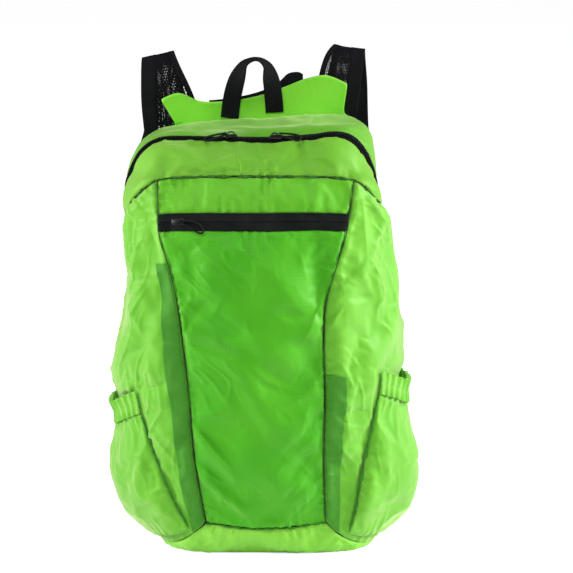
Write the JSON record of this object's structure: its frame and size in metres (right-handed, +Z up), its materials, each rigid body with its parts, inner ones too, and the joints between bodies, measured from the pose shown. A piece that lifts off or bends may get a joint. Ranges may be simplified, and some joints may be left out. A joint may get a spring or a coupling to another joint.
{
  "type": "packable backpack",
  "caption": "Thin ripstop daypack shown full: tapered front panel with zipped pocket, arched top zip, elastic side pockets, grab handle and mesh shoulder straps",
  "frame": {"origin": "middle of the base, on the surface that the pack stands on", "axes": "+X to the right seen from the front, +Y towards the wearer's back, +Z up"},
  "size_m": [0.3228, 0.2118, 0.5139],
  "materials": {
    "ripstop_green": "thin glossy ripstop nylon",
    "grosgrain_green": "ribbed woven tape",
    "webbing_black": "woven polyester webbing",
    "strap_mesh": "open knitted mesh",
    "zip_tape": "coated zip tape",
    "zip_teeth": "moulded nylon coil",
    "buckle_plastic": "moulded acetal",
    "slider_metal": "black painted zinc"
  },
  "bodies": {
    "root": {"front_panel_upper": "ripstop_green", "front_panel_lower": "ripstop_green", "side_panel_left": "ripstop_green", "side_panel_right": "ripstop_green", "top_panel_front": "ripstop_green", "top_panel_rear": "ripstop_green", "base_panel": "ripstop_green", "back_panel": "ripstop_green", "side_pocket_left": "ripstop_green", "side_pocket_right": "ripstop_green", "pocket_hem_left": "ripstop_green", "pocket_hem_right": "ripstop_green", "seam_tape_left": "grosgrain_green", "seam_tape_right": "grosgrain_green", "yoke_binding": "webbing_black", "grab_handle": "webbing_black", "strap_webbing_left": "webbing_black", "strap_webbing_right": "webbing_black", "strap_binding_left": "webbing_black", "strap_binding_right": "webbing_black", "strap_mesh_left": "strap_mesh", "strap_mesh_right": "strap_mesh", "ladder_buckle_left": "buckle_plastic", "ladder_buckle_right": "buckle_plastic", "lower_webbing_left": "webbing_black", "lower_webbing_right": "webbing_black", "main_zip_tape": "zip_tape", "main_zip_coil": "zip_teeth", "pocket_zip_tape": "zip_tape", "slider_main_left": "slider_metal", "slider_main_right": "slider_metal", "slider_pocket": "slider_metal", "pull_cord_main_left": "webbing_black", "pull_cord_main_right": "webbing_black", "pull_cord_pocket": "webbing_black"}
  },
  "joints": []
}
